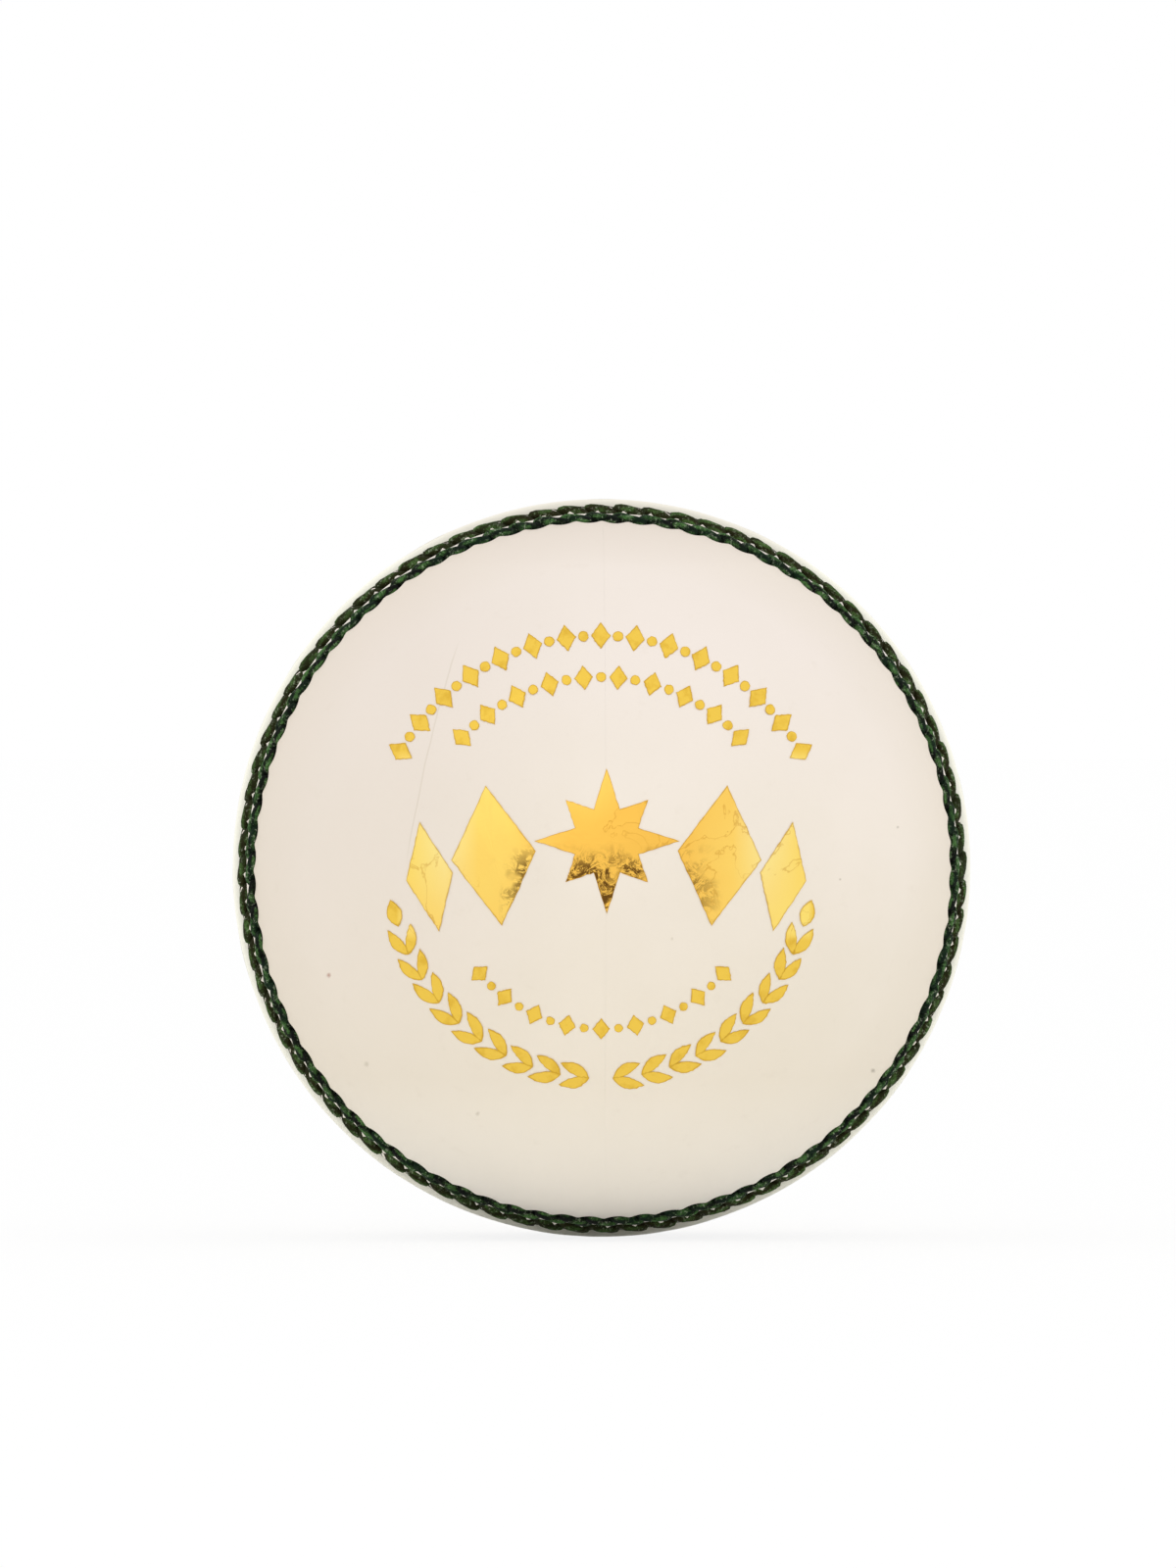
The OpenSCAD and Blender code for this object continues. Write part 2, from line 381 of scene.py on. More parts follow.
# Height of the middle of a stitch over the ball's body, and how far its tail and head dip
HEIGHT = {"centre": -0.34, "middle": 0.0, "outer": -0.02}
TAIL_DIP = {"centre": 0.28, "middle": 0.64, "outer": 0.10}
TAIL_RISE = {"centre": 0.6, "middle": 0.9, "outer": 0.6}
HEAD_DIP = {"centre": 0.50, "middle": 0.68, "outer": 0.34}
HEAD_FALL = {"centre": 0.26, "middle": 0.36, "outer": 0.50}
# How much higher a stitch lies towards its head than towards its tail
TILT = {"centre": 0.0, "middle": 0.06, "outer": 0.04}
# How uneven the hand-made stitches are: their place along the row and across it, and their height
ALONG_UNEVEN = 0.03
ACROSS_UNEVEN = 0.03
HEIGHT_UNEVEN = 0.018
# Shade where plies meet and where a stitch lies against its neighbours, which touch it above its
# tail and below its head, seen along a line across and up
PLY_SHADE = 0.8
TOUCH_SHADE = 0.9
TOUCH_LINE = (0.3, 0.95)


def stitch(row, lon0, pitch, rng):
    """One stitch: the points of a twisted length of thread from its low tail to its blunt head."""
    u = np.sin(np.linspace(-0.5, 0.5, THREAD_ALONG) * math.pi)
    reach = pitch * STITCH_REACH * rng.uniform(0.97, 1.04)
    lean = STITCH_LEAN * rng.uniform(0.9, 1.1)
    along = u * reach
    across = -lean * np.sin(LEAN_CURVE * u) / math.sin(LEAN_CURVE)
    across = across + rng.normal(0, ACROSS_UNEVEN)
    rise = smooth_step((u + 1.02) / TAIL_RISE[row]) - 1
    fall = smooth_step((1.02 - u) / HEAD_FALL[row]) - 1
    high = HEIGHT[row] + TAIL_DIP[row] * rise + HEAD_DIP[row] * fall + TILT[row] * u
    high = high + rng.normal(0, HEIGHT_UNEVEN)
    thick = THREAD_R * (TAIL_SHARE + HEAD_SWELL * smooth_step((u + 1) / 1.3)) * rng.uniform(0.97, 1.03)
    thick = thick * np.sqrt(np.clip(1.02 - np.abs(u) ** END_BLUNT, 0.05, 1))

    lon = lon0 + along / (BODY_R * math.cos(ARC[row] / BODY_R))
    centre = on_ball(lon, (ARC[row] + across) / BODY_R, BODY_R + high)
    heading = np.gradient(centre, axis=0)
    heading /= np.linalg.norm(heading, axis=1, keepdims=True)
    up = centre / np.linalg.norm(centre, axis=1, keepdims=True)
    side = np.cross(heading, up)
    side /= np.linalg.norm(side, axis=1, keepdims=True)
    up = np.cross(side, heading)

    v = np.arange(THREAD_ROUND) / THREAD_ROUND * 2 * math.pi
    twist = (along / TWIST_MM + rng.uniform(0, 1)) * 2 * math.pi / PLIES
    strand = np.abs(np.cos(PLIES / 2 * (v[None, :] - twist[:, None])))
    radius = thick[:, None] * (1 - PLY_DEPTH * (1 - strand) ** 1.5)
    ring = np.cos(v)[None, :, None] * side[:, None, :] + np.sin(v)[None, :, None] * up[:, None, :]
    tube = centre[:, None, :] + radius[:, :, None] * ring
    caps = heading[[0, -1]] * thick[[0, -1], None] * np.array([[-END_CAP], [END_CAP]])
    shade = stitch_shade(u, v, strand) * rng.uniform(0.8, 1.0)
    points = np.concatenate([tube.reshape(-1, 3), centre[[0, -1]] + caps])
    return points, np.concatenate([shade.reshape(-1), [0.0, 0.0]])


def stitch_shade(u, v, strand):
    """Light on the crown of a stitch, darker between its plies and where its neighbours touch."""
    crown = smooth_step((u + 1.0) / 0.22) * smooth_step((1.0 - u) / 0.22)
    groove = 1 - PLY_SHADE * (1 - strand) ** 1.2
    lift = TOUCH_LINE[0] * np.cos(v) + TOUCH_LINE[1] * np.sin(v)
    above = smooth_step((lift - 0.05) / 0.6)[None, :]
    below = smooth_step((0.25 - lift) / 0.6)[None, :]
    tail = smooth_step((-0.15 - u) / 0.4)[:, None]
    head = smooth_step((u - 0.15) / 0.4)[:, None]
    touching = (1 - TOUCH_SHADE * tail * above) * (1 - TOUCH_SHADE * head * below)
    return crown[:, None] * groove * touching


def tube_faces():
    """Faces of one stitch: its tube, and a fan over each end."""
    faces = []
    n, m = THREAD_ALONG, THREAD_ROUND
    for i in range(n - 1):
        for j in range(m):
            k = (j + 1) % m
            faces.append((i * m + j, (i + 1) * m + j, (i + 1) * m + k, i * m + k))
    for j in range(m):
        k = (j + 1) % m
        faces.append((n * m, j, k))
        faces.append((n * m + 1, (n - 1) * m + k, (n - 1) * m + j))
    return faces


def stitch_row(row, behind, material, seed):
    """All the stitches of one row, as one piece that replaces the row's CAD node."""
    rng = np.random.default_rng(seed)
    count = STITCHES[row]
    pitch = 2 * math.pi * BODY_R * math.cos(ARC[row] / BODY_R) / count
    one = tube_faces()
    each = THREAD_ALONG * THREAD_ROUND + 2
    points, shades, faces = [], [], []
    for k in range(count):
        lon0 = 2 * math.pi * k / count + rng.normal(0, ALONG_UNEVEN) * pitch / BODY_R
        tube, shade = stitch(row, lon0, pitch, rng)
        points.append(tube)
        shades.append(shade)
        faces += [tuple(i + k * each for i in f) for f in one]
    points = np.concatenate(points)
    where = "back" if behind else "front"
    if behind:
        points[:, 2] *= -1
        faces = [f[::-1] for f in faces]
    shades = np.concatenate(shades)
    piece = add_piece(f"stitches_{row}_{where}", points, faces, material, shade=shades)
    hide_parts(f"{row}_row_{where}")


# ---- Gold foil ----

# A foil shape stands just proud of the leather, with its root sunk in it. Its outline is a little
# ragged, its darker rim is never more than a set share of it, and its top is faintly wrinkled.
FOIL_TOP = 0.035
FOIL_ROOT = -0.09
FOIL_RAGGED = 0.02
FOIL_RIM = 0.2
FOIL_INSIDE = 0.7
WRINKLE = 0.008
WRINKLE_TURNS = (2.3, 1.1)
WRINKLE_ROUGH = 0.004
# Middle of the stamped design, a little left of the pole and above it, and of its bold band
DESIGN_AT = (-0.4, 0.53)
BAND_AT = (0.5, 2.6)
# The star: how many points, how far they reach in turn, and the notches between them
STAR_POINTS = 8
STAR_OUT = (7.0, 5.6)
STAR_IN = 3.3
# The lozenges beside it: how far from its middle, half their width and half their height. They
# hang lower and lean more the further out they are.
BAND_LOZENGES = ((10.9, 4.1, 6.8), (17.1, 2.3, 5.4))
BAND_DROOP = 0.012
BAND_LEAN = 0.6
# The sprigs follow one circle, with bowed leaves in pairs
LAUREL_R = 20.45
LEAF_L = 3.15
LEAF_W = 1.12
LEAF_BOW = 0.16
LEAF_RINGS = 4
# Splay of a pair's outer and inner leaf from the line of the sprig
LEAF_SPLAY = (-15, 27)
LEAF_PAIRS = 9
# Angles from straight down: the lowest pair, from one pair to the next, and the leaf at the tip,
# which is shorter and wider than the rest
LOWEST_PAIR = 3.2
PAIR_STEP = 7.79
TIP_LEAF = 73.6
TIP_L = 0.86
TIP_W = 1.3
# Arcs of lozenges and dots by turns: radius, first and last angle, how many shapes, seed, half a
# lozenge's size across the arc and along it, and a dot's radius
FOIL_ARCS = {
    "foil_upper_arc": (22.4, 150, 30, 29, 61, (1.3, 0.95), 0.5),
    "foil_inner_arc": (18.4, 137, 43, 19, 62, (1.2, 0.9), 0.48),
    "foil_lower_arc": (15.6, 221, 319, 17, 63, (1.05, 0.85), 0.42),
}


def turned(points, degrees, at=(0, 0)):
    a = math.radians(degrees)
    c, s = math.cos(a), math.sin(a)
    p = np.asarray(points, float)
    return np.stack([c * p[:, 0] - s * p[:, 1] + at[0], s * p[:, 0] + c * p[:, 1] + at[1]], axis=1)


def circle_outline(radius, count):
    a = np.arange(count) / count * 2 * math.pi
    return np.stack([radius * np.cos(a), radius * np.sin(a)], axis=1)


def polygon_outline(corners, each):
    """Points along a polygon's sides."""
    corners = np.asarray(corners, float)
    t = np.arange(each) / each
    sides = [a + (b - a) * t[:, None] for a, b in zip(corners, np.roll(corners, -1, axis=0))]
    return np.concatenate(sides)


def leaf_outline(long, wide, bow):
    """A pointed leaf from its foot at the origin to its tip along +x, bowed to one side."""
    t = np.linspace(0, 1, 15)
    half = wide / 2 * np.clip(np.sin(math.pi * t ** 0.92), 0, 1) ** 0.85
    spine = bow * np.sin(math.pi * t)
    lower = np.stack([t * long, spine - half], axis=1)
    upper = np.stack([t * long, spine + half], axis=1)[1:-1][::-1]
    return np.concatenate([lower, upper])


class Foil:
    """Gathers flat shapes and wraps them on the front of the ball as thin closed plates."""

    def __init__(self, seed):
        self.rng = np.random.default_rng(seed)
        self.points, self.faces, self.shade, self.count = [], [], [], 0

    def on_front(self, flat, height):
        x = flat[:, 0] + DESIGN_AT[0]
        y = flat[:, 1] + DESIGN_AT[1]
        radius = BODY_R + height
        return np.stack([x, y, np.sqrt(radius ** 2 - x ** 2 - y ** 2)], axis=1)

    def add(self, outline, rings):
        """A plate with rings of points from its outline in to its middle, above and below."""
        outline = np.asarray(outline, float)
        outline = outline + self.rng.normal(0, FOIL_RAGGED, outline.shape)
        middle = outline.mean(axis=0)
        n = len(outline)
        across = np.linalg.norm(outline - middle, axis=1).min()
        inward = max(1 - FOIL_RIM / across, FOIL_INSIDE)
        scales = np.concatenate([[1], np.linspace(inward, 1 / rings, rings - 1)])
        loops = []
        for height, order in ((FOIL_TOP, scales), (FOIL_ROOT, scales[::-1])):
            for scale in order:
                flat = middle + (outline - middle) * scale
                wrinkle = 0
                if height > 0:
                    wave = WRINKLE_TURNS[0] * flat[:, 0] + WRINKLE_TURNS[1] * flat[:, 1]
                    wrinkle = WRINKLE * np.sin(wave) + self.rng.normal(0, WRINKLE_ROUGH, n)
                self.points.append(self.on_front(flat, height + wrinkle))
                self.shade += [0.0 if scale == 1 else 1.0] * n
                loops.append(np.arange(self.count, self.count + n))
                self.count += n
        top, root = loops[:rings], loops[rings:]
        for a, b in zip(top[:-1], top[1:]):
            self.ring_faces(a, b)
        for a, b in zip(root[:-1], root[1:]):
            self.ring_faces(a, b)
        self.ring_faces(root[-1], top[0])
        for loop, height, flip in ((top[-1], FOIL_TOP, False), (root[0], FOIL_ROOT, True)):
            self.points.append(self.on_front(middle[None, :], height))
            self.shade.append(1.0)
            fan = [(loop[i], loop[(i + 1) % n], self.count) for i in range(n)]
            self.faces += [f[::-1] for f in fan] if flip else fan
            self.count += 1

    def ring_faces(self, a, b):
        n = len(a)
        self.faces += [(a[i], a[(i + 1) % n], b[(i + 1) % n], b[i]) for i in range(n)]

    def piece(self, name, material):
        points = np.concatenate(self.points)
        add_piece(name, points, self.faces, material, sharp=40, shade=self.shade)


def laurel(side, material):
    """A sprig that starts near the bottom and climbs to one side: -1 for left, 1 for right."""
    foil = Foil(seed=40 + side)

    def foot(from_bottom):
        a = math.radians(-90 + side * from_bottom)
        return (LAUREL_R * math.cos(a), LAUREL_R * math.sin(a)), math.degrees(a) + side * 90

    at, climb = foot(TIP_LEAF)
    foil.add(turned(leaf_outline(TIP_L * LEAF_L, TIP_W * LEAF_W, 0), climb, at), LEAF_RINGS)
    for k in range(LEAF_PAIRS):
        at, climb = foot(LOWEST_PAIR + PAIR_STEP * k)
        for splay in LEAF_SPLAY:
            outline = leaf_outline(LEAF_L, LEAF_W, side * math.copysign(LEAF_BOW, splay))
            outline = outline * foil.rng.uniform(0.95, 1.03)
            lean = side * splay + foil.rng.normal(0, 1.5)
            foil.add(turned(outline, climb + lean, at), LEAF_RINGS)
    foil.piece("laurel_right" if side > 0 else "laurel_left", material)


def lozenge(wide, high):
    """The corners of a lozenge, from half its width and half its height."""
    return np.array([(wide, 0), (0, high), (-wide, 0), (0, -high)])


def star(points, out, into):
    """The corners of a star whose points reach out to each distance of out in turn."""
    tips = []
    for k in range(2 * points):
        a = math.pi / 2 + math.pi * k / points
        r = into if k % 2 else out[k // 2 % len(out)]
        tips.append((r * math.cos(a), r * math.sin(a)))
    return np.array(tips)


def ornament_band(material):
    """The bold middle of the stamp: an eight-point star between lozenges."""
    foil = Foil(seed=51)
    corners = star(STAR_POINTS, STAR_OUT, STAR_IN)
    foil.add(turned(polygon_outline(corners, 8), 0, BAND_AT), rings=10)
    for side in (-1, 1):
        for off, wide, high in BAND_LOZENGES:
            at = (BAND_AT[0] + side * off, BAND_AT[1] - BAND_DROOP * off * off)
            shape = polygon_outline(lozenge(wide, high), 18)
            foil.add(turned(shape, -side * BAND_LEAN * off, at), rings=8)
    foil.piece("foil_ornament_band", material)


def arc_of_shapes(name, material, radius, first, last, count, seed, big, small):
    """Lozenges and dots, turn by turn, along an arc."""
    foil = Foil(seed)
    for k in range(count):
        angle = first + (last - first) * k / (count - 1)
        a = math.radians(angle)
        at = (radius * math.cos(a), radius * math.sin(a))
        shape = circle_outline(small, 16) if k % 2 else polygon_outline(lozenge(*big), 8)
        foil.add(turned(shape, angle, at), rings=3)
    foil.piece(name, material)


# ---- Materials ----


def srgb(*rgb):
    """A colour as seen on screen, 0 to 255, as a linear one."""
    out = []
    for c in rgb:
        c = c / 255
        out.append(c / 12.92 if c <= 0.04045 else ((c + 0.055) / 1.055) ** 2.4)
    return (*out, 1.0)


class Nodes:
    """Short names for the nodes of one material."""

    def __init__(self, name):
        self.material = bpy.data.materials.new(name)
        self.material.use_nodes = True
        self.tree = self.material.node_tree
        self.shader = self.tree.nodes["Principled BSDF"]
        self.coords = self.new("ShaderNodeTexCoord").outputs["Object"]

    def new(self, kind, **settings):
        node = self.tree.nodes.new(kind)
        for key, value in settings.items():
            setattr(node, key, value)
        return node

    def put(self, socket, value):
        if hasattr(value, "is_output"):
            self.tree.links.new(value, socket)
        else:
            socket.default_value = value

    def math(self, operation, a, b=0.0):
        node = self.new("ShaderNodeMath", operation=operation)
        self.put(node.inputs[0], a)
        self.put(node.inputs[1], b)
        return node.outputs[0]

    def times(self, first, *others):
        for other in others:
            first = self.math("MULTIPLY", first, other)
        return first

    def away(self, value, middle):
        """How far a value is from the middle, either way."""
        return self.math("ABSOLUTE", self.math("SUBTRACT", value, middle))

    def far_from(self, x, z, at):
        """Distance from a place of the front, given in millimetres across and up."""
        dx = self.math("SUBTRACT", x, at[0] * MM)
        dz = self.math("SUBTRACT", z, at[1] * MM)
        squares = self.math("ADD", self.times(dx, dx), self.times(dz, dz))
        return self.math("POWER", squares, 0.5)

    def noise(self, scale, detail, rough, distort=0.0):
        node = self.new("ShaderNodeTexNoise")
        self.put(node.inputs["Vector"], self.coords)
        self.put(node.inputs["Scale"], scale)
        self.put(node.inputs["Detail"], detail)
        self.put(node.inputs["Roughness"], rough)
        self.put(node.inputs["Distortion"], distort)
        return node.outputs[0]

    def voronoi(self, scale, output="Distance"):
        node = self.new("ShaderNodeTexVoronoi")
        self.put(node.inputs["Vector"], self.coords)
        self.put(node.inputs["Scale"], scale)
        return node.outputs[output]

    def ramp(self, value, *stops):
        node = self.new("ShaderNodeValToRGB")
        self.put(node.inputs[0], value)
        elements = node.color_ramp.elements
        while len(elements) < len(stops):
            elements.new(0.5)
        for element, (at, colour) in zip(elements, stops):
            element.position = at
            element.color = colour
        return node.outputs[0]

    def fade(self, value, low, high):
        """0 below low, 1 above high; the other way round if low is the greater."""
        node = self.new("ShaderNodeMapRange", clamp=True)
        self.put(node.inputs["Value"], value)
        self.put(node.inputs["From Min"], low)
        self.put(node.inputs["From Max"], high)
        return node.outputs[0]

    def fade_mm(self, value, low, high):
        """The same between two places given in millimetres."""
        return self.fade(value, low * MM, high * MM)

    def mix(self, share, a, b):
        node = self.new("ShaderNodeMix", data_type="RGBA")
        self.put(node.inputs[0], share)
        self.put(node.inputs[6], a)
        self.put(node.inputs[7], b)
        return node.outputs[2]

    def tint(self, base, where, share, colour):
        """The base colour with a share of another one where the mask is 1."""
        return self.mix(self.times(where, share), base, srgb(*colour))

    def bump(self, height, strength, distance_mm, normal=None):
        node = self.new("ShaderNodeBump")
        self.put(node.inputs["Height"], height)
        self.put(node.inputs["Strength"], strength)
        self.put(node.inputs["Distance"], distance_mm * MM)
        if normal is not None:
            self.put(node.inputs["Normal"], normal)
        return node.outputs[0]

    def split(self):
        node = self.new("ShaderNodeSeparateXYZ")
        self.put(node.inputs[0], self.coords)
        return node.outputs

    def set(self, **values):
        for key, value in values.items():
            self.put(self.shader.inputs[key.replace("_", " ")], value)
        return self.material


# Marks on the front of the hide: place across and up from the ball's centre, size, both in
# millimetres, colour and strength
HIDE_SPECKS = (
    ((-26.8, -10.1), 0.32, (168, 112, 92), 0.8),
    ((26.4, -19.6), 0.30, (150, 138, 118), 0.7),
    ((28.6, 4.3), 0.20, (168, 156, 136), 0.6),
    ((22.8, -0.7), 0.16, (176, 162, 140), 0.6),
    ((-23.1, -18.8), 0.35, (205, 194, 172), 0.7),
    ((-12.3, -23.5), 0.28, (200, 188, 168), 0.7),
    ((6.4, -6.3), 0.22, (210, 198, 178), 0.6),
)
# The hairline's circle, seen from the front, and its lower and upper end, in millimetres
HAIR_CENTRE = (115.1, -20.1)
HAIR_R = 136.0
HAIR_Z = (0.5, 22.5)


def speck(n, x, z, at, size):
    """1 within a small ragged spot of the front, fading to 0 outside."""
    ragged = n.math("ADD", n.far_from(x, z, at), n.times(n.noise(2200, 2, 0.5), size * 0.9 * MM))
    return n.fade_mm(ragged, size * 1.4, size * 0.6)


def hairline(n, x, z):
    """A fine crease of the hide down the left of the front, a shallow arc round a far centre."""
    off_circle = n.math("SUBTRACT", n.far_from(x, z, HAIR_CENTRE), HAIR_R * MM)
    wander = n.times(n.math("SUBTRACT", n.noise(110, 2, 0.5), 0.5), 0.8 * MM)
    off = n.math("ABSOLUTE", n.math("ADD", off_circle, wander))
    upper = n.fade_mm(z, HAIR_Z[1], HAIR_Z[1] - 2)
    lower = n.fade_mm(z, HAIR_Z[0], HAIR_Z[0] + 3)
    return n.times(n.fade_mm(off, 0.10, 0.03), upper, lower, n.fade_mm(x, 0, -4))


def leather_material():
    n = Nodes("white_hide")
    x, y, z = n.split()
    broad = n.noise(45, 4, 0.55)
    fine = n.noise(420, 4, 0.6)
    pores = n.voronoi(2600)
    tone = n.mix(n.fade(broad, 0.35, 0.65), srgb(237, 227, 212), srgb(242, 232, 219))
    # The hide is pinker high up, duller to the left and yellower low down, and it is painted palest at
    # the bottom, painted light that lifts the underside out of the floor's shade
    tone = n.tint(tone, n.fade_mm(z, 4, 22), 0.50, (240, 229, 224))
    left = n.times(n.fade_mm(x, -2, -18), n.fade_mm(z, -26, -10))
    tone = n.tint(tone, left, 0.50, (226, 214, 202))
    tone = n.tint(tone, n.fade_mm(z, 2, -22), 0.40, (240, 230, 206))
    # Painted light: the underside is painted near white against the floor's shade
    tone = n.mix(n.fade_mm(z, -20, -33), tone, srgb(254, 248, 237))
    tone = n.tint(tone, n.fade(fine, 0.62, 0.78), 0.10, (205, 190, 168))
    # The lip is painted near white, a painted highlight that lifts it out of its shade, and the
    # leather between the middle and the outer row is paler
    from_seam = n.math("ABSOLUTE", y)
    tone = n.mix(n.fade_mm(from_seam, 1.6, 1.0), tone, srgb(254, 252, 238))
    between = n.times(n.fade_mm(from_seam, 8.8, 8.2), n.fade_mm(from_seam, 5.6, 6.2))
    tone = n.tint(tone, between, 0.35, (252, 247, 236))
    # It is a little darker beside the outer rows, and at the very top it is painted darker, painted
    # shade where the ball's edge turns from the light
    beside = n.times(n.fade_mm(from_seam, 20.5, 12), n.fade_mm(from_seam, 9, 10.4))
    tone = n.tint(tone, n.times(beside, n.fade_mm(z, -30, -10)), 0.22, (216, 200, 172))
    tone = n.tint(tone, n.fade_mm(z, 29.5, 33.5), 0.30, (214, 200, 188))
    # Marks of the hide: a long hairline, a reddish speck and a few dark ones, all on the front
    front = n.fade_mm(y, 0, -4)
    tone = n.tint(tone, n.times(hairline(n, x, z), front), 0.30, (196, 184, 160))
    for at, size, colour, share in HIDE_SPECKS:
        tone = n.tint(tone, n.times(speck(n, x, z, at, size), front), share, colour)
    grain = n.bump(pores, 0.10, 0.05)
    return n.set(
        Base_Color=tone,
        Roughness=n.fade(broad, -0.4, 1.6),
        Normal=n.bump(n.noise(160, 6, 0.65, distort=0.6), 0.12, 0.12, grain),
        Specular_IOR_Level=0.35,
    )


def thread_material():
    n = Nodes("waxed_green_thread")
    shade = n.new("ShaderNodeAttribute", attribute_name="shade").outputs["Fac"]
    fibres = n.noise(2600, 5, 0.7, distort=1.2)
    patches = n.noise(330, 3, 0.6)
    fuzz = n.times(n.math("SUBTRACT", fibres, 0.48), 1.7)
    tone = n.math("ADD", n.times(shade, 0.80), fuzz)
    base = n.ramp(tone, (0.16, srgb(1, 3, 1)), (0.50, srgb(15, 28, 8)), (0.95, srgb(80, 122, 64)))
    base = n.tint(base, n.fade(patches, 0.45, 0.65), 0.40, (16, 52, 28))
    # The rows nearer the joint are tinted a little olive, a painted glare of the strong light on them,
    # and wax shows on the light fibres
    olive = n.fade_mm(n.math("ABSOLUTE", n.split()[1]), 8, 6)
    base = n.tint(base, olive, 0.30, (62, 58, 10))
    wax = n.times(n.fade(n.noise(3200, 4, 0.7), 0.56, 0.66), n.fade(shade, 0.1, 0.5))
    base = n.tint(base, wax, 0.45, (188, 200, 172))
    return n.set(
        Base_Color=base,
        Roughness=0.8,
        Normal=n.bump(fibres, 0.6, 0.09),
        Specular_IOR_Level=0.15,
    )


def foil_material():
    n = Nodes("gold_foil")
    x, _, z = n.split()
    across = n.math("ABSOLUTE", x)
    # Inside is 0 on the outline of a shape and 1 within its rim
    inside = n.new("ShaderNodeAttribute", attribute_name="shade").outputs["Fac"]
    # Noise for the crinkles of the foil and for its painted dark reflection
    crinkle_and_reflection = n.noise(640, 9, 0.8, distort=2.0)
    # The band is painted a brighter gold, a painted gloss that runs from deeper gold in the middle to
    # paler further out, and the arcs and sprigs round it are duller
    glow = n.times(n.fade(n.noise(60, 3, 0.5), 0.3, 0.7), 0.5)
    glow = n.math("ADD", n.fade_mm(n.far_from(x, z, (0, 0)), 21, 0), glow)
    middle_gold, edge_gold = srgb(250, 196, 84), srgb(255, 228, 118)
    bright = n.ramp(glow, (0.15, edge_gold), (0.6, srgb(255, 213, 104)), (1.0, middle_gold))
    up = n.away(z, BAND_AT[1] * MM)
    band = n.times(n.fade_mm(up, 9.2, 8.4), n.fade_mm(across, 20.2, 19.7))
    gold = n.mix(band, srgb(244, 204, 80), bright)
    # A light sheen lies high up where two lozenges stand side by side
    sheen = n.times(n.fade_mm(n.away(across, 15.5 * MM), 3.2, 0), band, n.fade_mm(z, -6, 4))
    gold = n.tint(gold, sheen, 0.6, (255, 246, 180))
    # The foil is crinkled in the lower middle of the band, and dark patches are painted there, a
    # painted reflection of the dark camera in front
    low_middle = n.times(n.fade_mm(z, 3, 0.5), n.fade_mm(z, -6, -3.5), n.fade_mm(across, 11.5, 7.5))
    patches = n.times(n.fade(n.noise(230, 3, 0.6), 0.42, 0.52), low_middle)
    dark_reflection = n.times(n.fade(crinkle_and_reflection, 0.47, 0.52), patches)
    gold = n.tint(gold, dark_reflection, 0.92, (74, 38, 5))
    # The stamp's edges are darker and a little ragged, and the duller shapes are mottled
    ragged = n.math("ADD", inside, n.times(n.math("SUBTRACT", n.noise(900, 4, 0.6), 0.5), 1.1))
    gold = n.tint(gold, n.fade(ragged, 0.65, 0.15), 0.6, (186, 134, 18))
    mottle = n.times(n.fade(n.noise(620, 4, 0.6), 0.50, 0.68), n.math("SUBTRACT", 1.0, band))
    gold = n.tint(gold, mottle, 0.45, (210, 160, 32))
    # Fine folds run over the band like veins
    vein = n.away(n.noise(150, 5, 0.55, distort=0.8), 0.5)
    vein = n.times(n.fade(vein, 0.010, 0.002), n.fade(n.noise(70, 2, 0.5), 0.46, 0.56))
    gold = n.tint(gold, n.times(vein, band), 0.42, (196, 138, 34))
    creases = n.math("ADD", n.noise(210, 7, 0.7, distort=1.5), n.times(crinkle_and_reflection, patches))
    creases = n.math("ADD", creases, n.times(vein, 0.5))
    return n.set(Base_Color=gold, Metallic=0.9, Roughness=0.34, Normal=n.bump(creases, 0.3, 0.14))


def yarn_material():
    n = Nodes("worsted_yarn_wool")
    fibres = n.noise(900, 6, 0.75, distort=1.0)
    dark, pale = srgb(158, 138, 104), srgb(232, 222, 198)
    base = n.ramp(fibres, (0.3, dark), (0.55, srgb(208, 192, 160)), (0.8, pale))
    return n.set(Base_Color=base, Roughness=0.9, Normal=n.bump(fibres, 0.6, 0.2))


def cork_material():
    n = Nodes("sheet_cork")
    grains = n.voronoi(520, output="Color")
    flecks = n.noise(700, 5, 0.7)
    base = n.mix(n.fade(flecks, 0.45, 0.7), srgb(176, 130, 84), srgb(120, 78, 44))
    base = n.mix(0.25, base, grains)
    base = n.mix(0.35, base, srgb(168, 123, 79))
    return n.set(Base_Color=base, Roughness=0.85, Normal=n.bump(flecks, 0.5, 0.25))


def nucleus_material():
    n = Nodes("cork_and_rubber")
    grains = n.fade(n.voronoi(380), 0.28, 0.42)
    base = n.mix(grains, srgb(150, 104, 62), srgb(60, 44, 34))
    return n.set(Base_Color=base, Roughness=0.75, Normal=n.bump(grains, 0.4, 0.2))


def lining_thread_material():
    n = Nodes("undyed_linen_thread")
    fibres = n.noise(2200, 5, 0.7, distort=1.0)
    base = n.ramp(fibres, (0.3, srgb(186, 172, 142)), (0.7, srgb(234, 226, 206)))
    return n.set(Base_Color=base, Roughness=0.8, Normal=n.bump(fibres, 0.5, 0.08))


# ---- Floor and light ----

FLOOR_R = 6.0
FLOOR_PALE = (0.97, 0.97, 0.97, 1)
# How much of the floor that the camera and mirrored rays see is plain white
FLOOR_WHITE = 0.86
WHITE = (1, 1, 1, 1)
WORLD_LIGHT = 1.0
LAMP_AT = (-0.25, -0.9, 0.55)
LAMP_SIZE = 0.8
LAMP_WATTS = 0.5


def seen_directly(tree):
    """1 for rays from the camera and mirrored ones, else 0."""
    paths = tree.nodes.new("ShaderNodeLightPath")
    seen = tree.nodes.new("ShaderNodeMath")
    seen.operation = "MAXIMUM"
    tree.links.new(paths.outputs["Is Camera Ray"], seen.inputs[0])
    tree.links.new(paths.outputs["Is Glossy Ray"], seen.inputs[1])
    return seen.outputs[0]


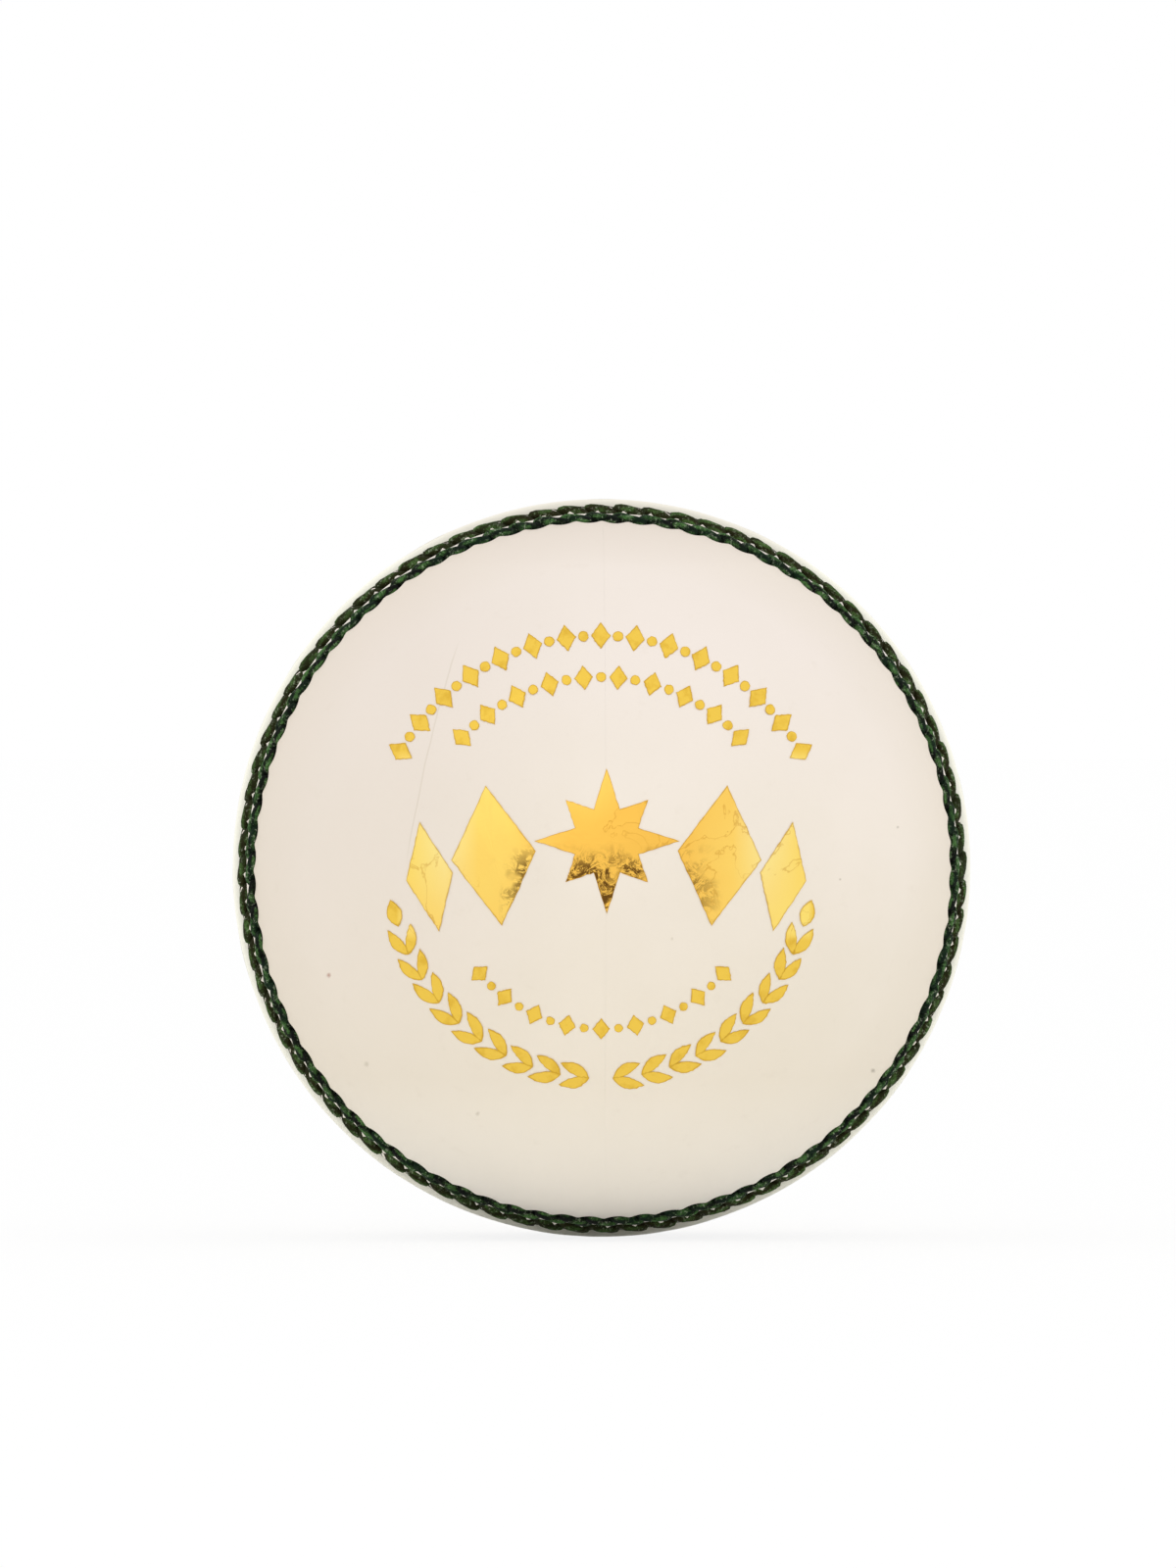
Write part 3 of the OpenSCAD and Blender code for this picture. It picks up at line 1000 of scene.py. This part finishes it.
def make_floor():
    """A pale floor under the ball that takes its shadow."""
    mesh = bpy.data.meshes.new("floor")
    level = -LIP_R * MM
    corners = [(x * FLOOR_R, y * FLOOR_R, level) for x, y in ((-1, -1), (1, -1), (1, 1), (-1, 1))]
    mesh.from_pydata(corners, [], [(0, 1, 2, 3)])
    floor = bpy.data.objects.new("floor", mesh)
    bpy.context.scene.collection.objects.link(floor)
    material = bpy.data.materials.new("pale_floor")
    material.use_nodes = True
    tree = material.node_tree
    tree.nodes.clear()
    out = tree.nodes.new("ShaderNodeOutputMaterial")
    diffuse = tree.nodes.new("ShaderNodeBsdfDiffuse")
    diffuse.inputs[0].default_value = FLOOR_PALE
    white = tree.nodes.new("ShaderNodeEmission")
    white.inputs[0].default_value = WHITE
    share = tree.nodes.new("ShaderNodeMath")
    share.operation = "MULTIPLY"
    share.inputs[1].default_value = FLOOR_WHITE
    mixed = tree.nodes.new("ShaderNodeMixShader")
    tree.links.new(seen_directly(tree), share.inputs[0])
    tree.links.new(share.outputs[0], mixed.inputs[0])
    tree.links.new(diffuse.outputs[0], mixed.inputs[1])
    tree.links.new(white.outputs[0], mixed.inputs[2])
    tree.links.new(mixed.outputs[0], out.inputs[0])
    mesh.materials.append(material)


def make_world():
    """An even white studio all round."""
    world = bpy.data.worlds.new("studio")
    bpy.context.scene.world = world
    world.use_nodes = True
    light = world.node_tree.nodes["Background"]
    light.inputs[0].default_value = WHITE
    light.inputs[1].default_value = WORLD_LIGHT


def make_lamp():
    """A soft lamp high in front, a little to the left."""
    data = bpy.data.lights.new("front_softbox", "AREA")
    data.size = LAMP_SIZE
    data.energy = LAMP_WATTS
    lamp = bpy.data.objects.new("front_softbox", data)
    bpy.context.scene.collection.objects.link(lamp)
    lamp.location = LAMP_AT
    lamp.rotation_euler = (-Vector(LAMP_AT)).to_track_quat("-Z", "Y").to_euler()


# ---- The whole ball ----

bpy.context.scene.view_settings.view_transform = "Standard"
make_camera()
make_floor()
make_world()
make_lamp()

hide = leather_material()
thread = thread_material()
gold = foil_material()
# Each quarter: its piece, its node, the turn round the seam's axis, whether it is behind, and a seed
COVER = (
    ("cover_front_left", "leather_quarter_front_left", math.pi / 2, False, 3),
    ("cover_front_right", "leather_quarter_front_right", -math.pi / 2, False, 3),
    ("cover_back_top", "leather_quarter_back_top", 0.0, True, 5),
    ("cover_back_bottom", "leather_quarter_back_bottom", math.pi, True, 5),
)
for name, cad_node, turn, behind, seed in COVER:
    cover_quarter(name, cad_node, turn, behind, hide, seed)
for number, row in enumerate(ROWS):
    stitch_row(row, False, thread, 20 + number)
    stitch_row(row, True, thread, 30 + number)

ornament_band(gold)
laurel(-1, gold)
laurel(1, gold)
for name, sizes in FOIL_ARCS.items():
    arc_of_shapes(name, gold, *sizes)

# The pieces inside keep their CAD shape and get a material
INNER_LOOKS = {
    "yarn_winding": yarn_material(),
    "cork_wrap": cork_material(),
    "core_nucleus": nucleus_material(),
    "quarter_stitching": lining_thread_material(),
    "through_threads": thread,
}
for node_name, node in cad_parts.items():
    for part, look in INNER_LOOKS.items():
        if part in node_name:
            node.material_slots[0].material = look
